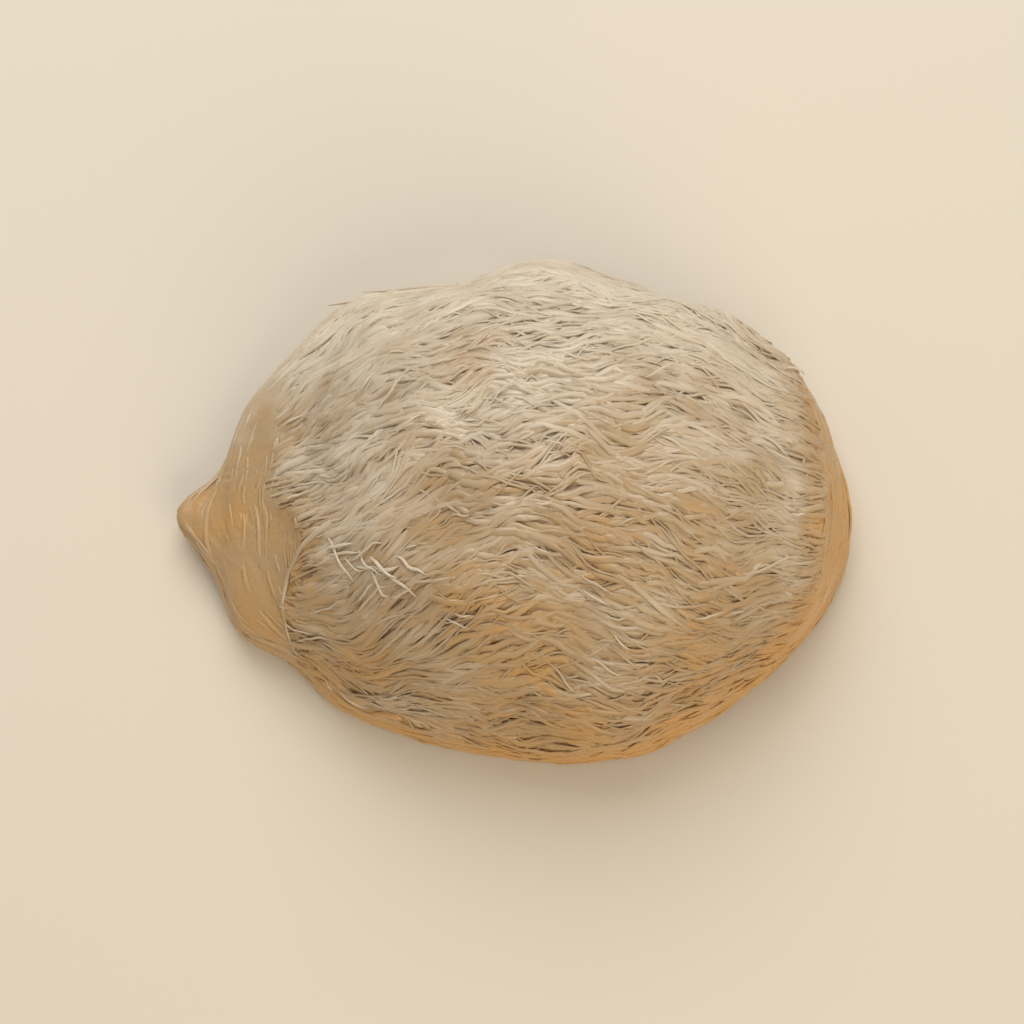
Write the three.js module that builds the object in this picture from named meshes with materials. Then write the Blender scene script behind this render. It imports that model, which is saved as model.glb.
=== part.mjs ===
import * as THREE from "three";

// A dried, cleaned edible bird's nest: one cup of matted strands, lying mouth down on its rim.
// Millimetres, +Z up. Bearings are degrees round the middle of the mouth, from +X towards +Y.
// The blunt end of the cup is at +X, and the smooth foot that held it to a wall comes to a point at -X.

const footBearing = 181;

// How far the nest reaches from the middle, as [bearing, reach] pairs.
const outline = allRound([
  [0, 33.6], [14, 32.7], [33, 31.0], [46, 29.2], [62, 27.0], [90, 27.6], [106, 26.4], [119, 28.2],
  [132, 31.2], [146, 32.3], [160, 34.5], [172, 34.9], [176, 36.2], [181, 40.2], [187, 38.0], [194, 36.0],
  [203, 35.8], [213, 32.0], [223, 31.3], [240, 29.0], [262, 27.7], [290, 28.9], [318, 30.3], [350, 34.0],
]);

// The height of the cup's top, over the rib of the dome that starts at each bearing from 0 to the foot.
const crown = allRound([
  [0, 2.6], [6, 4.8], [12, 7.2], [19, 10.4], [27, 14.2], [38, 18.9], [52, 22.9], [72, 25.4],
  [91, 25.6], [110, 24.4], [128, 20.5], [140, 14.2], [152, 8.8], [164, 5.4], [173, 3.9], [181, 2.9],
]);

// A smooth strip is lapped over the foot of the dome. This is its width up the slope.
const stripWidth = allRound([
  [0, 15.5], [16, 14], [32, 9.5], [46, 6], [90, 5.5], [130, 5.5], [151, 7], [171, 13.4], [184, 18.5],
  [192, 20], [200, 16], [208, 9.5], [217, 5], [250, 4.4], [290, 4.4], [318, 6], [332, 10], [346, 14.5],
]);
const stripThickness = 0.7;
const stripEdge = 1.4; // its inner edge falls to the strands over this width
const stripLip = 0.05; // the lip on its inner edge, as a share of its width
const stripLipWidth = 1.2;

const fullness = 2.05; // of the dome's cross-section and the hollow: 2 would be an ellipse
const mouthLength = 43;
const mouthWidth = 37;
const cupDepth = 18.5;
const edgeThickness = 2.6;
const edgeRounding = 0.8;
const lipRise = 1.8; // the mouth's edge is rounded over this height
const lipRounding = 1.1;

// The foot curls off the table towards its tip, and the rim lifts a little between the three pads it stands on.
const footStart = 28;
const footCurl = 1.6;
const padCount = 3;
const padTurn = 150;
const padShare = 0.3;
const rimLift = 0.9;

// Bundles of strands run over the dome from end to end: every other line of the skin is a crest.
const domeLines = 52;
const domeRibs = 60;
const bundleHeight = 0.6;
const bundleWaver = 0.6; // in lines
const slitDepth = 1.2;
const slitShare = 0.5;
const innerBundleHeight = 0.5;
const innerBundleCount = 13;
const rimRings = 3;
const hollowRings = 9;

const degree = Math.PI / 180;
const { clamp, lerp, smoothstep } = THREE.MathUtils;

// A smooth value all the way round from [bearing, value] pairs, the first of them at bearing 0.
function allRound(pairs) {
  const count = pairs.length;
  const pair = (i) => {
    const turn = Math.floor(i / count);
    const [bearing, value] = pairs[i - turn * count];
    return [bearing + 360 * turn, value];
  };
  const slope = (i) => {
    const [before, low] = pair(i - 1);
    const [after, high] = pair(i + 1);
    return (high - low) / (after - before);
  };
  return (bearing) => {
    const i = pairs.findLastIndex(([at]) => at <= bearing);
    const [from, start] = pair(i);
    const [to, end] = pair(i + 1);
    const width = to - from;
    const t = (bearing - from) / width;
    const rise = t * t * (3 - 2 * t);
    const lead = t * (1 - t) * (1 - t) * width * slope(i);
    const trail = t * t * (t - 1) * width * slope(i + 1);
    return start + (end - start) * rise + lead + trail;
  };
}

function place(bearing, reach, z) {
  return new THREE.Vector3(reach * Math.cos(bearing * degree), reach * Math.sin(bearing * degree), z);
}

function bearingOf(point) {
  const bearing = Math.atan2(point.y, point.x) / degree;
  return bearing < 0 ? bearing + 360 : bearing;
}

// A rounded share of the way from 0 at an edge to 1 at the middle, for an angle from 0 to a quarter turn.
const arched = (angle) => Math.pow(Math.max(0, Math.sin(angle)), 2 / fullness);

function mouthReach(bearing) {
  const long = Math.cos(bearing * degree) / (mouthLength / 2);
  const wide = Math.sin(bearing * degree) / (mouthWidth / 2);
  return 1 / Math.hypot(long, wide);
}

// How far a point of the rim stands off the table.
function lift(point) {
  const curl = footCurl * smoothstep(-point.x, footStart, outline(footBearing));
  const wave = Math.sin((padCount * bearingOf(point) - padTurn) * degree);
  return Math.max(curl, (rimLift * Math.max(0, wave - padShare)) / (1 - padShare));
}

// The skin has one column for each end of each rib: column 0 is the blunt end and column domeRibs the foot.
function columnBearing(column) {
  const share = column / domeRibs;
  return share <= 1 ? footBearing * share : footBearing + (360 - footBearing) * (share - 1);
}

function borderPoint(column) {
  const bearing = columnBearing(column % (2 * domeRibs));
  const point = place(bearing, outline(bearing) - edgeRounding, edgeThickness);
  point.z += lift(point);
  return point;
}

// How far up the slope a point lies past the inner edge of the strip round the dome's foot.
function pastStrip(point) {
  const bearing = bearingOf(point);
  const fromEdge = Math.hypot(outline(bearing) - Math.hypot(point.x, point.y), point.z);
  return fromEdge - stripWidth(bearing);
}

function lip(point) {
  const past = (pastStrip(point) + stripLipWidth) / stripLipWidth;
  return stripLip * stripWidth(bearingOf(point)) * Math.exp(-past * past);
}

// Crests and grooves that waver in depth, with a slit here and there where two bundles part.
function bundles(rib, line) {
  const depth = bundleHeight * (0.8 + 0.3 * Math.sin(0.41 * rib + 1.9 * line));
  if (line % 2 === 0) return depth;
  const slit = Math.max(0, Math.sin(0.37 * rib + 2.6 * line) - slitShare) / (1 - slitShare);
  return -depth - slitDepth * slit;
}

// Broad lumps, where one part of the cup dried fuller than another.
function lumps(point) {
  return (
    0.5 * Math.sin(0.15 * point.x + 0.6) * Math.cos(0.2 * point.y - 0.5) +
    0.4 * Math.sin(0.29 * point.x - 0.21 * point.y + 1.2)
  );
}

// One point of the dome. Rib 0 is the foot's tip, and a rib's lines go from its end at +Y to its end at -Y.
function domePoint(rib, line) {
  const start = borderPoint(domeRibs - rib);
  const end = borderPoint(domeRibs + rib);
  const middling = Math.sin((Math.PI * line) / domeLines);
  const waver = Math.sin(0.23 * rib + 0.17 * line) + 0.4 * Math.sin(0.57 * rib - 0.21 * line);
  const turn = (Math.PI * (line + bundleWaver * waver * middling)) / domeLines;
  const aside = Math.PI / 2 - turn;
  const reach = (1 - Math.sign(aside) * arched(Math.abs(aside))) / 2;
  const point = start.lerp(end, reach);
  point.z += (crown(columnBearing(domeRibs - rib)) - edgeThickness) * arched(turn);
  const outwards = point.clone().normalize();
  const bare = smoothstep(pastStrip(point), 0, stripEdge);
  const swell = lumps(point) * clamp(point.z / (4 * edgeThickness), 0, 1);
  const relief = bare * bundles(rib, line) + (1 - bare) * stripThickness * middling + lip(point);
  return point.addScaledVector(outwards, swell + relief);
}

function edgePoint(column) {
  const bearing = columnBearing(column);
  const point = place(bearing, outline(bearing), edgeThickness / 2);
  point.z += lift(point);
  return point;
}

// The underside of the rim, from the outer edge at share 0 to the mouth at share 1.
function rimPoint(column, share) {
  const bearing = columnBearing(column);
  const outer = outline(bearing) - edgeRounding;
  const inner = mouthReach(bearing) + lipRounding;
  const point = place(bearing, lerp(outer, inner, share), 0);
  point.z = lift(point);
  return point;
}

// The inside of the cup, from its mouth at share 0 to the middle of the hollow at share 1.
function hollowPoint(column, share) {
  const bearing = columnBearing(column);
  const point = place(bearing, arched(((1 - share) * Math.PI) / 2) * mouthReach(bearing), 0);
  point.z = lipRise + (cupDepth - lipRise) * arched((share * Math.PI) / 2) + lift(point) * (1 - share);
  const across = Math.atan2(point.y, point.z);
  const crest = Math.abs(Math.cos(innerBundleCount * across + Math.sin(0.24 * point.x + 1.3 * across)));
  const inwards = point.clone().normalize().negate();
  const fade = clamp(4 * share, 0, 1) * clamp(4 * (1 - share), 0, 1);
  return point.addScaledVector(inwards, innerBundleHeight * crest * fade);
}

// The whole skin: the dome's ribs, then rings from its border round the edge, the rim and the hollow.
function nestGeometry() {
  const columns = 2 * domeRibs;
  const across = domeLines - 1;
  const points = [];
  const faces = [];
  for (let column = 0; column < columns; column++) points.push(borderPoint(column));
  for (let rib = 1; rib < domeRibs; rib++) {
    for (let line = 1; line < domeLines; line++) points.push(domePoint(rib, line));
  }
  const onDome = (rib, line) => {
    if (rib === 0 || line === 0) return domeRibs - rib;
    if (rib === domeRibs || line === domeLines) return (domeRibs + rib) % columns;
    return columns + (rib - 1) * across + line - 1;
  };
  const rings = [edgePoint];
  for (let i = 0; i < rimRings; i++) rings.push((column) => rimPoint(column, i / (rimRings - 1)));
  for (let i = 0; i < hollowRings; i++) rings.push((column) => hollowPoint(column, i / hollowRings));
  const firstRing = points.length;
  for (const ring of rings) {
    for (let column = 0; column < columns; column++) points.push(ring(column));
  }
  points.push(hollowPoint(0, 1));
  const onRing = (ring, column) => (ring < 0 ? 0 : firstRing + ring * columns) + (column % columns);

  const addQuad = (a, b, c, d) => {
    if (a !== b && b !== c && a !== c) faces.push(a, b, c);
    if (a !== c && c !== d && a !== d) faces.push(a, c, d);
  };
  for (let rib = 0; rib < domeRibs; rib++) {
    for (let line = 0; line < domeLines; line++) {
      addQuad(onDome(rib, line), onDome(rib, line + 1), onDome(rib + 1, line + 1), onDome(rib + 1, line));
    }
  }
  for (let column = 0; column < columns; column++) {
    for (let ring = -1; ring + 1 < rings.length; ring++) {
      addQuad(
        onRing(ring, column), onRing(ring + 1, column), onRing(ring + 1, column + 1), onRing(ring, column + 1),
      );
    }
    faces.push(onRing(rings.length - 1, column), points.length - 1, onRing(rings.length - 1, column + 1));
  }

  const geometry = new THREE.BufferGeometry().setFromPoints(points);
  geometry.setIndex(faces);
  geometry.computeVertexNormals();
  geometry.computeBoundingBox();
  const middle = geometry.boundingBox.getCenter(new THREE.Vector3());
  return geometry.translate(-middle.x, -middle.y, -geometry.boundingBox.min.z);
}

const driedStrands = new THREE.MeshStandardMaterial({ color: 0xdcc9a4, roughness: 0.45, metalness: 0 });

const nest = new THREE.Mesh(nestGeometry(), driedStrands);
nest.name = "nest";

const part = new THREE.Group();
part.add(nest);

export default part;
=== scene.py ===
import math

import bmesh
import bpy
import numpy as np
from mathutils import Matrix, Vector, noise


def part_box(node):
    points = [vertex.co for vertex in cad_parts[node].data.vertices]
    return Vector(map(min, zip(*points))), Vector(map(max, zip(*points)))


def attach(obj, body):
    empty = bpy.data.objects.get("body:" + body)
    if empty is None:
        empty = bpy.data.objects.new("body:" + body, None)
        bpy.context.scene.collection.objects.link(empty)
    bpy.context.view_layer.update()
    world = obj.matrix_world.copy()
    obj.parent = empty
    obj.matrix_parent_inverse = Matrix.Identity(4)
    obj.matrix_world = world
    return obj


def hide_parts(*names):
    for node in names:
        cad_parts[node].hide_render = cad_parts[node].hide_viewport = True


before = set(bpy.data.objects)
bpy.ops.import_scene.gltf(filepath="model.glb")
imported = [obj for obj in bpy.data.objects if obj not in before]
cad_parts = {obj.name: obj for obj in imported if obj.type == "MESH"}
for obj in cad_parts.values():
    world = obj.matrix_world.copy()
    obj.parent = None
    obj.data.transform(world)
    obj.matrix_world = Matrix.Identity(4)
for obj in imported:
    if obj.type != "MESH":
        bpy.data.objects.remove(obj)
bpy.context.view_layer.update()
mm = 0.001


# The cup
# The body of the nest is one dried mass of saliva, laid in strands and matted while it was wet.
# A smooth strip is lapped round the foot of its dome. It dried as one piece, and it lies loose.

# The middle of the mouth. Bearings are measured round it from the blunt end at +X, and the foot is at -X.
middle = Vector((3.18, 0.23, 0.0)) * mm
bottom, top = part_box("nest")
dome_height = top.z - bottom.z

# The strip's width up the slope at each bearing, in degrees and millimetres. Its inner edge wavers.
strip_bearings = (0, 16, 32, 46, 90, 130, 151, 171, 184, 192, 200, 208, 217, 250, 290, 318, 332, 346)
strip_widths = (15.5, 14, 9.5, 6, 5.5, 5.5, 7, 13.4, 18.5, 20, 16, 9.5, 5, 4.4, 4.4, 6, 10, 14.5)
strip_edge = 1.2 * mm
strip_waver = 1.0 * mm
strip_waver_length = 5 * mm

# The strands lie calmer at the back of the dome. The calm part is wider towards the foot.
calm_from, calm_to = 8 * mm, 22 * mm
calm_lean = 0.35

# How the skin is read: the edge in steps of some degrees, and the outside by its height and its facing.
outline_step = 3
underside_height = 0.6 * mm
outside_sharpness = 3
join_distance = 0.001 * mm

# The facets of the solid are smoothed out and rounded, and the dome then swells where it dried fuller.
# Waves are given as cells a radian along the nest, cells a radian across it, and a seed.
smoothing_rounds = 8
smoothing_pull = 0.5
rounding_levels = 2
swell_height = 0.8 * mm
broad_swells = (2.6, 5.5, 1.7)
small_swells = (5, 11, 6.2)
small_wave_share = 0.5
waves_axis_drop = 0.15 * dome_height


def smooth_step(values):
    values = np.clip(values, 0, 1)
    return values * values * (3 - 2 * values)


def positions(mesh):
    found = np.empty(len(mesh.vertices) * 3)
    mesh.vertices.foreach_get("co", found)
    return found.reshape(-1, 3)


def normals(mesh):
    found = np.empty(len(mesh.vertices) * 3)
    mesh.vertices.foreach_get("normal", found)
    return found.reshape(-1, 3)


def move_points(mesh, places):
    mesh.vertices.foreach_set("co", places.astype(np.float32).ravel())
    mesh.update()


def store(mesh, name, values):
    attribute = mesh.attributes.new(name, "FLOAT", "POINT")
    attribute.data.foreach_set("value", values.astype(np.float32))


def merged_copy(node):
    """The CAD node's skin with its points joined, in four-sided faces where two triangles pair up."""
    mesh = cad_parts[node].data.copy()
    mesh.materials.clear()
    work = bmesh.new()
    work.from_mesh(mesh)
    bmesh.ops.remove_doubles(work, verts=work.verts, dist=join_distance)
    bmesh.ops.join_triangles(
        work, faces=work.faces, angle_face_threshold=math.pi, angle_shape_threshold=math.pi
    )
    work.to_mesh(mesh)
    work.free()
    return mesh


def finished(obj):
    """The object's mesh with its modifiers applied."""
    graph = bpy.context.evaluated_depsgraph_get()
    mesh = bpy.data.meshes.new_from_object(obj.evaluated_get(graph))
    obj.modifiers.clear()
    return mesh


def new_object(name, data):
    obj = bpy.data.objects.new(name, data)
    bpy.context.scene.collection.objects.link(obj)
    return obj


def around(places):
    """Bearing in degrees, and reach in plan, of each point round the middle of the mouth."""
    aside = places - np.array(middle)
    bearing = np.degrees(np.arctan2(aside[:, 1], aside[:, 0])) % 360
    return bearing, np.hypot(aside[:, 0], aside[:, 1])


def outline_reach(places):
    """How far the nest's edge reaches at each bearing, read from the CAD skin."""
    bearing, reach = around(places)
    stops = np.arange(0, 360, outline_step)
    far = [
        reach[np.abs((bearing - stop + 180) % 360 - 180) <= outline_step].max() for stop in stops
    ]
    return lambda wanted: np.interp(wanted, stops, far, period=360)


def past_strip(places):
    """How far each point lies above the strip's wavering inner edge. It is negative on the strip."""
    bearing, reach = around(places)
    from_edge = np.hypot(edge_reach(bearing) - reach, places[:, 2])
    width = np.interp(bearing, strip_bearings, strip_widths, period=360) * mm
    waver = np.array([noise.noise(Vector(place) / strip_waver_length) for place in places])
    return from_edge - width - strip_waver * waver


def strip_share(places):
    """1 on the smooth strip and 0 on the strands above it."""
    return 1 - smooth_step(past_strip(places) / strip_edge)


def calm_share(places):
    """1 on the back of the dome towards the foot, where the strands lie smoother, and 0 at its front."""
    back = places[:, 1] - calm_lean * places[:, 0]
    return smooth_step((back - calm_from) / (calm_to - calm_from))


def outside_share(mesh):
    """1 on the outside of the dome, and 0 under the rim and inside the hollow."""
    places = positions(mesh)
    outward = places - np.array(middle)
    outward /= np.linalg.norm(outward, axis=1)[:, None]
    facing = np.einsum("ij,ij->i", outward, normals(mesh))
    return smooth_step(outside_sharpness * facing) * smooth_step(places[:, 2] / underside_height)


def smoothed(mesh, weight):
    """The mesh's points, each drawn towards its neighbours' middle by its weight."""
    places = positions(mesh)
    edges = np.array([edge.vertices[:] for edge in mesh.edges])
    count = np.bincount(edges.ravel(), minlength=len(places))[:, None]
    for _ in range(smoothing_rounds):
        sums = np.zeros_like(places)
        np.add.at(sums, edges[:, 0], places[edges[:, 1]])
        np.add.at(sums, edges[:, 1], places[edges[:, 0]])
        places = places + (sums / count - places) * (smoothing_pull * weight[:, None])
    return places


def waves(places, along, across, seed):
    """Noise from -1 to 1 in long cells that run from end to end of the nest."""
    aside = places - np.array(middle)
    turn = np.arctan2(aside[:, 2] + waves_axis_drop, aside[:, 1])
    lengthwise = np.arctan2(aside[:, 0], np.hypot(aside[:, 1], aside[:, 2]))
    cells = np.column_stack((lengthwise * along, turn * across, np.full(len(places), seed)))
    return np.array([noise.noise(cell) for cell in cells])


def layered_waves(places, broad, small):
    """Broad waves that carry smaller ones."""
    return waves(places, *broad) + small_wave_share * waves(places, *small)


surface_mesh = merged_copy("nest")
edge_reach = outline_reach(positions(surface_mesh))
on_strands = outside_share(surface_mesh) * (1 - strip_share(positions(surface_mesh)))
move_points(surface_mesh, smoothed(surface_mesh, on_strands))
cup = new_object("cup", surface_mesh)
rounding = cup.modifiers.new("rounding", "SUBSURF")
rounding.levels = rounding_levels
rounding.render_levels = rounding_levels
cup.data = finished(cup)
cup.data.shade_smooth()
smooth_places = positions(cup.data)
swelling = layered_waves(smooth_places, broad_swells, small_swells)
swelling *= outside_share(cup.data) * (1 - strip_share(smooth_places))
move_points(cup.data, smooth_places + normals(cup.data) * (swell_height * swelling)[:, None])

# The strands are laid on a copy of this surface, which tells them where the strip and the calm back are.
surface = cup.data.copy()
store(surface, "past_strip", past_strip(positions(surface)))
store(surface, "calm", calm_share(positions(surface)))

# The relief of the mat between the strands. It sinks a little under them, and more under the rim.
ridge_height = 0.35 * mm
broad_ridges = (5, 26, 3.1)
small_ridges = (12, 60, 8.4)
inner_ridge_share = 0.4
sink = 0.10 * mm
underside_sink = 0.45 * mm
underside_sharpness, underside_start = 3, 1.5

# The strip has only fine lines of its own, in cells a radian round the nest and a millimetre up the slope.
line_height = 0.12 * mm
lines_round, lines_up = 3, 1.6

# How the mat is coloured: the strip's painted warm glow blends into the strands', and painted shade lies in
# the mat's hollows and deepens the foot's tip.
colour_blend = 5 * mm
middle_painted_shade = 0.5
foot_tip_from, foot_tip_to = -30.5 * mm, -34 * mm


def mat_relief(mesh):
    """Moves the mat's strands up and down, below the strands that are laid on it."""
    places = positions(mesh)
    outside = outside_share(mesh)
    strip = strip_share(places)
    ridges = layered_waves(places, broad_ridges, small_ridges)
    bearing, reach = around(places)
    up_slope = (edge_reach(bearing) - reach) / mm * lines_up
    rows = np.column_stack((np.radians(bearing) * lines_round, up_slope, places[:, 2] / mm * lines_up))
    lines = np.array([noise.noise(row) for row in rows])
    bare = outside * (1 - strip)
    raised = bare * (ridge_height * ridges - sink) + strip * line_height * lines
    inside = (1 - outside) * (1 - strip)
    raised += inside * inner_ridge_share * ridge_height * ridges * (places[:, 2] > underside_height)
    downwards = smooth_step(-underside_sharpness * normals(mesh)[:, 2] - underside_start)
    downwards *= places[:, 2] < 2 * underside_height
    places = places + normals(mesh) * (raised - underside_sink * downwards)[:, None]
    places[:, 2] = np.maximum(places[:, 2], 0)
    move_points(mesh, places)
    # The strip's share of the colour, which paints a warm glow of the light that shines through the thin
    # strip.
    store(mesh, "strip", 1 - smooth_step((past_strip(places) + colour_blend / 2) / colour_blend))
    # Painted shade: the colour deepens in the mat's hollows between its ridges, and more at the foot's tip.
    foot_tip = smooth_step((places[:, 0] - foot_tip_from) / (foot_tip_to - foot_tip_from))
    store(mesh, "depth", np.clip(middle_painted_shade - ridges * bare, 0, 1) + foot_tip)


mat_relief(cup.data)


class Wire:
    """A socket that takes part in sums. Numbers go through Math nodes and vectors through Vector Math."""

    def __init__(self, tree, socket=None):
        self.tree = tree
        self.socket = socket

    def make(self, kind, settings=None, values=None, output=0):
        """Adds a node: its settings first, then the values or links of its sockets."""
        node = self.tree.nodes.new(kind)
        for key, value in (settings or {}).items():
            if key == "stops":
                ramp = node.color_ramp
                while len(ramp.elements) < len(value):
                    ramp.elements.new(1.0)
                for element, (place, colour) in zip(ramp.elements, value):
                    element.position = place
                    element.color = (*colour, 1.0)
            else:
                setattr(node, key, value)
        for key, value in (values or {}).items():
            socket = self.find(node.inputs, key)
            if isinstance(value, Wire):
                self.tree.links.new(value.socket, socket)
            else:
                socket.default_value = value
        return Wire(self.tree, self.find(node.outputs, output) if node.outputs else None)

    @staticmethod
    def find(sockets, key):
        open_sockets = [socket for socket in sockets if socket.enabled]
        if isinstance(key, int):
            return open_sockets[key]
        return next(socket for socket in open_sockets if socket.name == key)

    def also(self, name):
        """Another output of the node that this wire comes from."""
        return Wire(self.tree, self.find(self.socket.node.outputs, name))

    def math(self, operation, *others):
        wires = [self, *others]
        vector = any(isinstance(w, Wire) and w.socket.type == "VECTOR" for w in wires)
        kind = "ShaderNodeVectorMath" if vector else "ShaderNodeMath"
        if vector:
            wires = [(w,) * 3 if isinstance(w, (int, float)) else w for w in wires]
        return self.make(kind, {"operation": operation}, dict(enumerate(wires)))

    def scaled(self, factor):
        return self.make("ShaderNodeVectorMath", {"operation": "SCALE"}, {"Vector": self, "Scale": factor})

    def between(self, low, high):
        return self.math("MAXIMUM", low).math("MINIMUM", high)

    def __add__(self, other):
        return self.math("ADD", other)

    def __sub__(self, other):
        return self.math("SUBTRACT", other)

    def __rsub__(self, other):
        return self.math("MULTIPLY", -1.0) + other

    def __mul__(self, other):
        return self.math("MULTIPLY", other)

    __radd__ = __add__
    __rmul__ = __mul__


# The colours of dried saliva on a ramp, from the thin and pale to the deep and honey-coloured.
pale = (0.66, 0.58, 0.46)
cream = (0.57, 0.48, 0.365)
tan = (0.425, 0.30, 0.17)
honey = (0.50, 0.29, 0.105)
saliva_colours = [(0.0, pale), (0.2, cream), (0.6, tan), (1.0, honey)]
ramp_gain, ramp_start = 0.8, 0.2

# Patterns over the nest: cells a metre across it, those along it as a share of them, and levels of detail.
blotch_cells = (90.0, 1.0, 2.0)
bundle_cells = (260.0, 0.4, 1.0)
streak_cells = (1500.0, 0.25, 2.0)

# Each strand's own fibres: cells a strand's half width, cells from its one end to the other, and a shift.
fibre_cells, fibre_run, fibre_shift = 2.2, 5.0, 60.0

# How far the colour deepens: for each metre along X and Y, which is painted shade and painted warm reflected
# light that deepen it towards the front and the blunt end, with each pattern, with the painted shade in the
# mat and with the painted warm glow on the strip.
# The offset brings the sum back onto the ramp.
painted_light_along, painted_light_across = 3.0, -17.0
blotch_weight, bundle_weight, streak_weight, fibre_weight = 1.2, 0.8, 0.2, 0.2
tone_weight, painted_shade_weight, strip_glow_weight = 0.25, 0.25, 0.4
shade_offset = 1.15

# The strip is painted a little lighter than the ramp, as part of its painted warm glow, and painted shade
# makes the depths of the mat a little darker.
strip_glow_lightness, painted_shade_darkness = 0.12, 0.1

# The finish: how rough it is at least, what the streaks add to that, and the grain too small for the mesh.
least_roughness, streak_roughness = 0.17, 0.25
bump_strength, bump_height, bump_streaks = 0.5, 0.1 * mm, 0.5

# How deep red, green and blue light go into the mat, as shares of its thickness.
glow_depths = (1.0, 0.8, 0.6)


def dried_saliva(name, shade, glow=0.0, thickness=0.0):
    """Half-clear dried saliva, whose colour holds painted light. Painted shade and painted warm reflected
    light make it pale at the back of the dome and deeper towards the front and the blunt end. Painted shade
    makes it honey-coloured where the mat is deep in its hollows and at the foot's tip, and the strip has a
    painted warm glow.

    Shade deepens its colour. Glow is the share of light that goes into it, as far as its thickness.
    """
    material = bpy.data.materials.new(name)
    material.use_nodes = True
    tree = material.node_tree
    tree.nodes.clear()
    start = Wire(tree)
    place = start.make("ShaderNodeTexCoord").also("Object")
    level = start.make("ShaderNodeSeparateXYZ", None, {"Vector": place})

    def attribute(label, output):
        return start.make("ShaderNodeAttribute", {"attribute_name": label}).also(output)

    def cells(scale, lengthwise, detail):
        vector = start.make("ShaderNodeMapping", None, {"Vector": place, "Scale": (lengthwise, 1.0, 1.0)})
        return start.make("ShaderNodeTexNoise", None, {"Vector": vector, "Scale": scale, "Detail": detail})

    blotches = cells(*blotch_cells)
    bundles = cells(*bundle_cells)
    streaks = cells(*streak_cells)
    tone = attribute("tone", "Fac")
    depth = attribute("depth", "Fac")
    strip = attribute("strip", "Fac")
    along = attribute("along", "Fac")
    own_place = start.make("ShaderNodeCombineXYZ", None, {"Z": along * fibre_run + tone * fibre_shift})
    fibre_place = attribute("section", "Vector").scaled(fibre_cells) + own_place
    fibres = start.make("ShaderNodeTexNoise", None, {"Vector": fibre_place, "Scale": 1.0, "Detail": 1.0})

    # Painted shade and painted warm reflected light: the colour deepens towards the front, away from the key
    # light, and towards the blunt end.
    mixed = level.also("Y") * painted_light_across + level.also("X") * painted_light_along
    mixed = mixed + blotches * blotch_weight + bundles * bundle_weight + streaks * streak_weight
    mixed = mixed + tone * tone_weight + fibres * fibre_weight
    # Painted shade deepens the mat's hollows and the foot's tip, and the strip's share adds its painted warm
    # glow.
    mixed = mixed + depth * painted_shade_weight + strip * strip_glow_weight + shade - shade_offset
    colour = start.make(
        "ShaderNodeValToRGB", {"stops": saliva_colours}, {"Fac": mixed * ramp_gain + ramp_start}
    )
    # Painted light: the strip's painted warm glow lightens it a little, and painted shade darkens the mat's
    # hollows.
    colour = colour.scaled(strip * strip_glow_lightness - depth * painted_shade_darkness + 1.0)
    bump = start.make(
        "ShaderNodeBump",
        None,
        {"Strength": bump_strength, "Distance": bump_height, "Height": streaks * bump_streaks + fibres},
    )
    shader = start.make(
        "ShaderNodeBsdfPrincipled",
        None,
        {
            "Base Color": colour,
            "Roughness": streaks * streak_roughness + least_roughness,
            "IOR": 1.5,
            "Specular IOR Level": 0.5,
            "Subsurface Weight": glow,
            "Subsurface Radius": glow_depths,
            "Subsurface Scale": thickness,
            "Normal": bump,
        },
    )
    start.make("ShaderNodeOutputMaterial", None, {"Surface": shader})
    return material


cup.data.materials.clear()
cup.data.materials.append(dried_saliva("matted_saliva", 0.1, glow=0.5, thickness=1.2 * mm))
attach(cup, "root")
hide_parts("nest")


# The strands laid first
# Broad strands of saliva, which the bird laid from end to end of the cup. They dried fast to the mat and
# are half sunk in it, and they show deep in the slits between the strands that were laid later.

# The strands arch sideways, most at one turn round the nest and no longer past a reach on both sides of it.
# Their slope grows from the middle of the nest towards its blunt end, where it eases. Towards the foot it
# stops growing at a limit.
arch_turn = 2.2
arch_reach = 0.78
arch_slope, arch_ease = 1.45, 0.9
arch_limit = -0.7

# Strands sway together in a flow, and each one on its own in waves a radian. Every ripple is read in its own
# plane of one noise, and every strand at a place of its own in that plane.
sway_waves, sway_detail = 3.4, 1.5
flow_detail = 2.0
flow_plane, sway_plane, dip_plane, width_plane = 4.0, 0.0, 7.0, 3.0
own_places = 90.0

# How high and how wide the strands are, as shares of the Rise and the Width that are given.
least_rise, most_rise = 0.2, 1.0
least_width, most_width = 0.6, 1.15
width_waves, width_ripple = 5.0, 0.3

# Towards its ends a strand grows thin and dips into the mat. One that ends at the strip sinks out of sight.
tip_power = 2.6
tip_taper, tip_dip = 0.85, 0.9
sink_length = 3 * mm
sink_taper = 0.6
sunk = 0.999

# At the calm back of the dome the strands lie flatter and a little lower.
calm_flatness = 0.8
calm_sink = 0.1 * mm

# The rays that find the surface: their start or end outside the nest, and the nearest hit that counts.
ray_reach = 100 * mm
nearest_hit = 1 * mm

# The strip's share in a strand's colour where it crosses the strip's edge. It carries the strip's painted
# warm glow.
strip_glow_at_edge = 0.8


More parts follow.
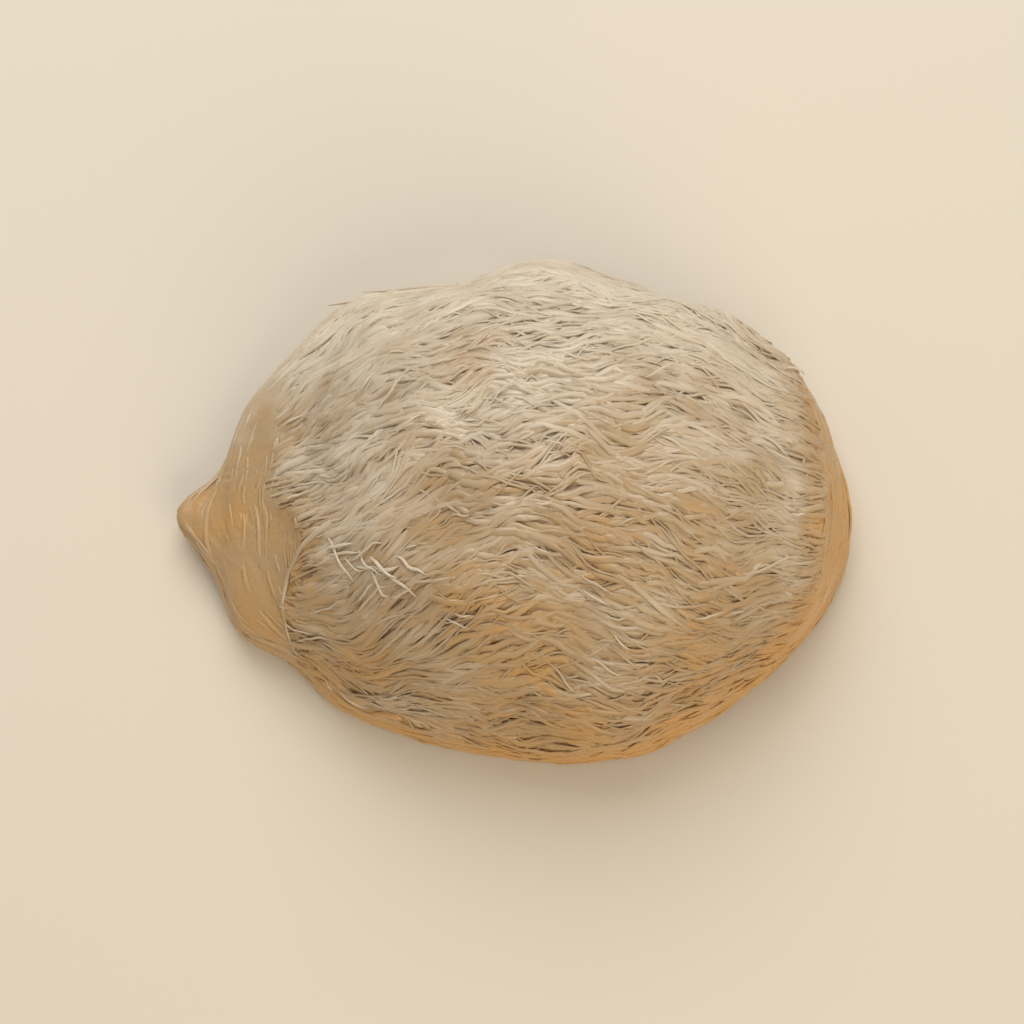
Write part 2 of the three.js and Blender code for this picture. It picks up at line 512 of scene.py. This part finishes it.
def strand_tree(name):
    """Strands along a surface, from end to end of the nest or round it.

    A strand's place is its angle along its way, and its turn is the angle to the side. Both are in radians
    round the Middle. Shortest and Longest are lengths of place. Flow, Waver, Slant and Arch bend the way by
    turn. Rise, Dip and Lift are heights off the surface. A strand ends between First Stop and Last Stop
    past the strip's edge, where it sinks by Bury. The middle of a strand never goes below Lowest.
    """
    tree = bpy.data.node_groups.new(name, "GeometryNodeTree")
    inputs = {
        "NodeSocketGeometry": ["Geometry"],
        "NodeSocketInt": ["Count", "Seed", "Steps", "Sides"],
        "NodeSocketVector": ["Middle"],
        "NodeSocketFloat": [
            "From Inside", "Round", "First Turn", "Last Turn", "First Place", "Last Place",
            "Shortest", "Longest", "Width", "Flatness", "Rise", "Dip", "Lift", "Flow", "Patches",
            "Waver", "Waves", "Slant", "Arch", "Lowest", "First Stop", "Last Stop", "Bury",
        ],
        "NodeSocketMaterial": ["Material"],
    }
    for kind, labels in inputs.items():
        for label in labels:
            tree.interface.new_socket(label, in_out="INPUT", socket_type=kind)
    tree.interface.new_socket("Geometry", in_out="OUTPUT", socket_type="NodeSocketGeometry")
    start = Wire(tree)
    take = start.make("NodeGroupInput").also

    line = start.make("GeometryNodeCurvePrimitiveLine")
    line = start.make("GeometryNodeResampleCurve", None, {"Curve": line, "Count": take("Steps")})
    strands = start.make(
        "GeometryNodeDuplicateElements", {"domain": "SPLINE"}, {"Geometry": line, "Amount": take("Count")}
    )
    number = strands.also("Duplicate Index")

    def attribute(label):
        return start.make("GeometryNodeInputNamedAttribute", {"data_type": "FLOAT"}, {"Name": label})

    def with_attribute(curves, label, value, kind="FLOAT"):
        return start.make(
            "GeometryNodeStoreNamedAttribute",
            {"data_type": kind, "domain": "POINT"},
            {"Geometry": curves, "Name": label, "Value": value},
        )

    strands = with_attribute(strands, "along", start.make("GeometryNodeSplineParameter").also("Factor"))
    share = attribute("along")
    draws = ["length", "centre", "turn", "slant", "more slant", "own place", "rise", "width", "tone", "stop"]

    def chance(draw, low, high):
        """A random number for each strand. Every draw has a seed of its own, by its place in the list."""
        return start.make(
            "FunctionNodeRandomValue",
            {"data_type": "FLOAT"},
            {"Min": low, "Max": high, "ID": number, "Seed": take("Seed") + (draws.index(draw) + 1)},
        )

    def combine(x, y, z):
        return start.make("ShaderNodeCombineXYZ", None, {"X": x, "Y": y, "Z": z})

    def ripple(x, y, plane, scale, detail=1.0):
        """Noise from -1 to 1 at a point of one of its planes."""
        found = start.make(
            "ShaderNodeTexNoise",
            {"noise_dimensions": "3D"},
            {"Vector": combine(x, y, plane), "Scale": scale, "Detail": detail},
        )
        return (found - 0.5) * 2.0

    # The way of each strand, as places and turns.
    length = chance("length", take("Shortest"), take("Longest"))
    run = (share - 0.5) * length
    centre = chance("centre", take("First Place"), take("Last Place"))
    place = centre + run
    turn = chance("turn", take("First Turn"), take("Last Turn"))
    slant = (chance("slant", -1.0, 1.0) + chance("more slant", -1.0, 1.0)) * take("Slant")
    away = (centre - math.pi / 2).math("MAXIMUM", arch_limit)
    aside = (turn - arch_turn) * (1.0 / arch_reach)
    arched = (1.0 - aside * aside).math("MAXIMUM", 0.0)
    slant = slant + away * (arch_slope - away * arch_ease) * arched * take("Arch")
    turn = turn + run * slant
    turn = turn + ripple(place, turn, flow_plane, take("Patches"), flow_detail) * take("Flow")
    own = chance("own place", 0.0, own_places)
    turn = turn + ripple(run, own, sway_plane, sway_waves, sway_detail) * take("Waver")
    turn = turn.between(take("First Turn"), take("Last Turn"))

    # The rays that cast each step of that way onto the surface: lengthwise for strands from end to end, and
    # edgewise for strands round the nest.
    lengthwise = combine(
        place.math("COSINE") * -1.0,
        place.math("SINE") * turn.math("COSINE"),
        place.math("SINE") * turn.math("SINE"),
    )
    edgewise = combine(
        place.math("COSINE") * turn.math("COSINE"),
        place.math("SINE") * turn.math("COSINE"),
        turn.math("SINE"),
    )
    direction = lengthwise + (edgewise - lengthwise).scaled(take("Round"))
    source = take("Middle") + direction.scaled((1.0 - take("From Inside")) * ray_reach)
    ray = direction.scaled(take("From Inside") * 2.0 - 1.0)

    def met(label):
        """Where the rays meet the surface, with one of its attributes there."""
        return start.make(
            "GeometryNodeRaycast",
            {"data_type": "FLOAT"},
            {
                "Target Geometry": take("Geometry"),
                "Attribute": attribute(label),
                "Source Position": source,
                "Ray Direction": ray,
                "Ray Length": 2 * ray_reach,
            },
        )

    # The height and the thickness of the strand, by its own ripples, its tips, the strip and the calm back.
    hit = met("past_strip")
    past = hit.also("Attribute")
    inwards = 1.0 - take("Round") * 2.0
    under = (chance("stop", take("First Stop"), take("Last Stop")) - past) * inwards
    sinking = (under * (1.0 / sink_length)).between(0.0, 1.0)
    calm = met("calm").also("Attribute")
    normal = hit.also("Hit Normal")
    tip = (share * 2.0 - 1.0).math("ABSOLUTE").math("POWER", tip_power)
    height = chance("rise", least_rise, most_rise) * take("Rise")
    height = height + ripple(run, own, dip_plane, take("Waves")) * take("Dip")
    height = (height + share * take("Lift")) * (1.0 - calm * calm_flatness) - calm * calm_sink
    height = height - tip * take("Width") * tip_dip - sinking * take("Bury")
    thick = take("Width") * chance("width", least_width, most_width)
    thick = thick * (1.0 - tip * tip_taper) * (1.0 - sinking * sink_taper) * 0.5
    thick = thick * (ripple(run, own, width_plane, width_waves) * width_ripple + 1.0)
    laid = hit.also("Hit Position") + normal.scaled(height)
    level = start.make("ShaderNodeSeparateXYZ", None, {"Vector": laid})
    laid = combine(level.also("X"), level.also("Y"), level.also("Z").math("MAXIMUM", take("Lowest")))
    strands = start.make("GeometryNodeSetPosition", None, {"Geometry": strands, "Position": laid})
    strands = start.make(
        "GeometryNodeSetCurveNormal", {"mode": "FREE"}, {"Curve": strands, "Normal": normal}
    )

    # What the material reads: a tone for each strand, and the strip's share along it, which carries the
    # strip's painted warm glow.
    on_strip = (strip_glow_at_edge - past * (1.0 / colour_blend)).between(0.0, 1.0)
    strands = with_attribute(strands, "tone", chance("tone", 0.0, 1.0))
    strands = with_attribute(strands, "strip", on_strip)

    # Steps that are sunk out of sight, and those whose ray found nothing, are taken out.
    reached = hit.also("Hit Distance")
    gone = sinking.math("GREATER_THAN", sunk).math("MAXIMUM", reached.math("GREATER_THAN", ray_reach))
    gone = gone.math("MAXIMUM", reached.math("LESS_THAN", nearest_hit))
    strands = start.make(
        "GeometryNodeDeleteGeometry", {"domain": "POINT"}, {"Geometry": strands, "Selection": gone}
    )

    # The strand's cross-section is a flattened circle, which keeps its own points' places for the fibres.
    section = start.make(
        "GeometryNodeCurvePrimitiveCircle", {"mode": "RADIUS"}, {"Resolution": take("Sides"), "Radius": 1.0}
    )
    section_place = start.make("GeometryNodeInputPosition")
    section = with_attribute(section, "section", section_place, "FLOAT_VECTOR")
    section = start.make(
        "GeometryNodeTransform", None, {"Geometry": section, "Scale": combine(take("Flatness"), 1.0, 1.0)}
    )
    made = start.make(
        "GeometryNodeCurveToMesh",
        None,
        {"Curve": strands, "Profile Curve": section, "Scale": thick, "Fill Caps": True},
    )
    made = start.make("GeometryNodeRealizeInstances", None, {"Geometry": made})
    made = start.make("GeometryNodeSetShadeSmooth", None, {"Geometry": made})
    made = start.make("GeometryNodeSetMaterial", None, {"Geometry": made, "Material": take("Material")})
    start.make("NodeGroupOutput", None, {"Geometry": made})
    return tree


def lay_strands(name, settings):
    """Makes a piece of strands on the cup's surface."""
    piece = new_object(name, surface.copy())
    laying = piece.modifiers.new("strands", "NODES")
    laying.node_group = laid_strands
    for socket in laid_strands.interface.items_tree:
        if socket.in_out == "INPUT" and socket.name in settings:
            laying[socket.identifier] = settings[socket.name]
    piece.data = finished(piece)
    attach(piece, "root")
    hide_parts("nest")


laid_strands = strand_tree("laid_strands")
strand_material = dried_saliva("dried_saliva", 0.05)
dome_strands = {
    "Seed": 11,
    "Count": 1350,
    "Steps": 12,
    "Sides": 6,
    "Middle": middle + Vector((0, 0, 0.1 * dome_height)),
    "From Inside": 0.0,
    "Round": 0.0,
    "First Turn": 0.0,
    "Last Turn": math.pi,
    "First Place": 0.15,
    "Last Place": math.pi - 0.15,
    "Shortest": 0.18,
    "Longest": 0.65,
    "Width": 0.95 * mm,
    "Flatness": 0.4,
    "Rise": 0.1 * mm,
    "Dip": 0.32 * mm,
    "Flow": 0.17,
    "Patches": 2.5,
    "Waver": 0.10,
    "Waves": 11.0,
    "Slant": 0.18,
    "Arch": 1.0,
    "Lift": 0.0,
    "Lowest": 0.6 * mm,
    "First Stop": -2.5 * mm,
    "Last Stop": 5.0 * mm,
    "Bury": 1.5 * mm,
    "Material": strand_material,
}
# These strands are painted a little deeper in colour, as painted shade under the strands laid over them.
first_strands = dome_strands | {
    "Rise": -0.05 * mm,
    "Width": 1.15 * mm,
    "Shortest": 0.25,
    "Material": dried_saliva("painted_shade_saliva", 0.10),
}
lay_strands("strands_below", first_strands)


# The strands laid next
# Strands of saliva that make up most of what shows of the dome. They dip in and out of the mat, part in
# long slits, and dried fast to each other wherever they touch.

lay_strands("strands_middle", dome_strands | {"Seed": 23})


# The strands laid last
# Narrower strands of saliva, laid over the others at a slant and painted paler, as a painted highlight on
# the top layer. They hold the coarse strands down, and they dried fast where they cross them.

# The strands laid last and the fine strands are painted paler, as a painted highlight on top of the mat.
painted_highlight_material = dried_saliva("painted_highlight_saliva", -0.06)
last_strands = dome_strands | {
    "Seed": 37,
    "Count": 1100,
    "Rise": 0.15 * mm,
    "Width": 0.75 * mm,
    "Flatness": 0.5,
    "Slant": 0.3,
    "Material": painted_highlight_material,
}
lay_strands("strands_above", last_strands)


# The fine strands
# Threads of saliva, nearly round and painted pale as a painted highlight, which were drawn out thin between
# the coarse strands. They stick to the tops of the strands that they cross.

fine_strands = dome_strands | {
    "Seed": 43,
    "Count": 1700,
    "Sides": 5,
    "Rise": 0.2 * mm,
    "Width": 0.36 * mm,
    "Flatness": 0.7,
    "Waver": 0.15,
    "Slant": 0.4,
    "Material": painted_highlight_material,
}
lay_strands("fine_strands", fine_strands)


# The strands inside the cup
# The hollow is lined with narrower strands of saliva, which the bird pressed flat. They dried fast to the
# wall of the cup.

# A stop this far off, in metres, is never reached, so none of the strands sinks.
far_off = 1.0
inner_strands = dome_strands | {
    "Seed": 51,
    "Count": 700,
    "From Inside": 1.0,
    "Width": 0.8 * mm,
    "Rise": 0.15 * mm,
    "Dip": 0.3 * mm,
    "Arch": 0.0,
    "First Stop": -far_off,
    "Last Stop": -far_off,
}
lay_strands("strands_inside", inner_strands)


# The strands of the strip
# The smooth strip was laid in long strands of saliva round the foot of the dome and round the rim. They ran
# together while they were wet, and dried to thin lines on the cup.

strip_strands = dome_strands | {
    "Seed": 67,
    "Count": 400,
    "Steps": 20,
    "Middle": middle,
    "Round": 1.0,
    "First Turn": 0.12,
    "Last Turn": 0.55,
    "First Place": 0.0,
    "Last Place": 2 * math.pi,
    "Shortest": 0.4,
    "Longest": 1.2,
    "Width": 0.6 * mm,
    "Rise": -0.12 * mm,
    "Dip": 0.27 * mm,
    "Flow": 0.05,
    "Waver": 0.02,
    "Slant": 0.05,
    "Arch": 0.0,
    "First Stop": -1.5 * mm,
    "Last Stop": 2.0 * mm,
    "Material": dried_saliva("rim_saliva", 0.0),
}
lay_strands("strands_round_foot", strip_strands)
edge_strands = strip_strands | {
    "Seed": 71,
    "Count": 300,
    "First Turn": 0.02,
    "Last Turn": 0.15,
    "Width": 0.8 * mm,
}
lay_strands("strands_round_rim", edge_strands)


# The strands under the rim
# The rim's flat underside is bound with strands of saliva that run round the mouth. They dried fast to it,
# and none hangs lower than the pads that the nest stands on.

under_strands = strip_strands | {
    "Seed": 77,
    "Count": 350,
    "Middle": middle + Vector((0, 0, 15)) * mm,
    "First Turn": -0.8,
    "Last Turn": -0.3,
    "Width": 0.8 * mm,
    "Rise": 0.1 * mm,
    "Lowest": 0.24 * mm,
    "Flow": 0.1,
    "First Stop": far_off,
    "Last Stop": far_off,
}
lay_strands("strands_under_rim", under_strands)


# The loose ends
# Thin pale ends of strands, of saliva that dried hard in the air. Each is rooted in the mat at one end and
# stands a little off the dome at the other.

loose_ends = dome_strands | {
    "Seed": 83,
    "Count": 90,
    "Sides": 5,
    "Shortest": 0.05,
    "Longest": 0.15,
    "Width": 0.28 * mm,
    "Flatness": 0.9,
    "Rise": 0.7 * mm,
    "Dip": 0.2 * mm,
    "Slant": 0.6,
    "Lift": 0.4 * mm,
    "Material": dried_saliva("dried_tips", -0.5),
}
lay_strands("loose_ends", loose_ends)


# The tuft
# A dozen pale ends of dried saliva stand close together on the dome near the foot, where a bundle of
# strands frayed. They are rooted in the mat like the loose ends.

tuft = loose_ends | {
    "Seed": 91,
    "Count": 12,
    "First Place": 0.64,
    "Last Place": 1.04,
    "First Turn": 2.0,
    "Last Turn": 2.26,
    "Shortest": 0.11,
    "Longest": 0.19,
    "Width": 0.45 * mm,
    "Rise": 0.5 * mm,
    "Slant": 1.6,
    "Arch": 0.0,
}
lay_strands("tuft", tuft)


# The wisps
# A few strands of saliva end past the edge of the cup and stick out of it. One more was laid along the
# inner edge of the strip beside the foot. All of them are rooted in the mat and dried with it.

# How wide each wisp is at its root, as a share of the width, and its corners from there in millimetres.
wisp_width = 1.0 * mm
wisp_taper = 0.85
wisp_routes = [
    (1.1, [(-10, 23.6, 5.0), (-14, 23.6, 4.2), (-17, 23.3, 3.4), (-20.2, 22.9, 3.0)]),
    (0.6, [(-6, 24.2, 6.0), (-10, 24.6, 4.4), (-14, 24.2, 3.6), (-16.5, 24.4, 3.2)]),
    (0.5, [(29.0, -14.0, 4.0), (31.4, -10.5, 3.6), (33.8, -7.5, 3.0), (35.9, -5.4, 2.6)]),
]

# The strand beside the foot: its corners in plan and its height on the strip in millimetres, and its width
# as a share. It is found on the cup from high above.
edge_corners = [(-18.6, -4.8), (-21.6, -6.4), (-23.5, -9.0), (-24.2, -12.0), (-23.7, -14.8), (-22.6, -17.2)]
edge_height = 0.2
edge_width = 0.8
edge_steps = 20
high_above = 100


def on_cup(corners, steps):
    """A route on the cup's outside, above a line of corners in plan."""
    shares = np.linspace(0, len(corners) - 1, steps)
    plan = [np.interp(shares, range(len(corners)), side) for side in zip(*corners)]
    down = Vector((0, 0, -1))
    found = [cup.ray_cast(Vector((x, y, high_above)) * mm, down)[1] / mm for x, y in zip(*plan)]
    return [place - edge_height * down for place in found]


wisp_routes.append((edge_width, on_cup(edge_corners, edge_steps)))
wisp_curve = bpy.data.curves.new("wisps", "CURVE")
wisp_curve.dimensions = "3D"
wisp_curve.bevel_depth = wisp_width / 2
wisp_curve.bevel_resolution = 2
wisp_curve.use_fill_caps = True
for width, route in wisp_routes:
    line = wisp_curve.splines.new("NURBS")
    line.points.add(len(route) - 1)
    line.order_u = 4
    line.use_endpoint_u = True
    for step, (point, place) in enumerate(zip(line.points, route)):
        point.co = (*(Vector(place) * mm), 1)
        point.radius = width * (1 - wisp_taper * step / (len(route) - 1))
drawn = new_object("wisp_curve", wisp_curve)
wisps = new_object("wisps", finished(drawn))
bpy.data.objects.remove(drawn)
wisps.data.shade_smooth()
wisps.data.materials.append(strand_material)
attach(wisps, "root")
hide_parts("nest")


# The floor
# A wide and pale table top, plain and level, which the nest lies on. It is there for the picture alone.

floor_colour = (0.69, 0.64, 0.56, 1)
floor_roughness = 0.7
floor_reach = 3.0
floor_corners = [(x * floor_reach, y * floor_reach, 0) for x, y in ((-1, -1), (1, -1), (1, 1), (-1, 1))]
floor_mesh = bpy.data.meshes.new("floor")
floor_mesh.from_pydata(floor_corners, [], [(0, 1, 2, 3)])
floor = new_object("floor", floor_mesh)
floor_material = bpy.data.materials.new("pale_floor")
floor_material.use_nodes = True
floor_shader = floor_material.node_tree.nodes["Principled BSDF"]
floor_shader.inputs["Base Color"].default_value = floor_colour
floor_shader.inputs["Roughness"].default_value = floor_roughness
floor.data.materials.append(floor_material)


# The light
# A soft white light from the back and a warm one from the front, both turned to the nest, in a pale room.
# Their places and sizes are in metres.

room_colour = (1.0, 0.94, 0.85, 1)
room_strength = 0.42


def area_light(name, place, size, power, colour):
    data = bpy.data.lights.new(name, "AREA")
    data.size = size
    data.energy = power
    data.color = colour
    light = new_object(name, data)
    light.location = place
    light.rotation_euler = (-Vector(place)).to_track_quat("-Z", "Y").to_euler()


area_light("key", place=(-0.04, 0.36, 0.42), size=0.45, power=2.3, colour=(1.0, 0.97, 0.92))
area_light("fill", place=(0.25, -0.45, 0.35), size=0.5, power=2.0, colour=(1.0, 0.82, 0.58))
room = bpy.data.worlds.new("studio")
room.use_nodes = True
room_light = room.node_tree.nodes["Background"]
room_light.inputs["Color"].default_value = room_colour
room_light.inputs["Strength"].default_value = room_strength
bpy.context.scene.world = room
bpy.context.scene.view_settings.view_transform = "Standard"


# The camera
# It looks down on the dome from the front, a little less than straight from above.

view_elevation = math.radians(77)
view_distance = 0.31
view_target = Vector((0, 0, 1 * mm))
view_lens = 100
camera_data = bpy.data.cameras.new("camera")
camera_data.lens = view_lens
camera = new_object("camera", camera_data)
back = Vector((0, -math.cos(view_elevation), math.sin(view_elevation)))
camera.location = view_target + back * view_distance
camera.rotation_euler = (-back).to_track_quat("-Z", "Y").to_euler()
bpy.context.scene.camera = camera
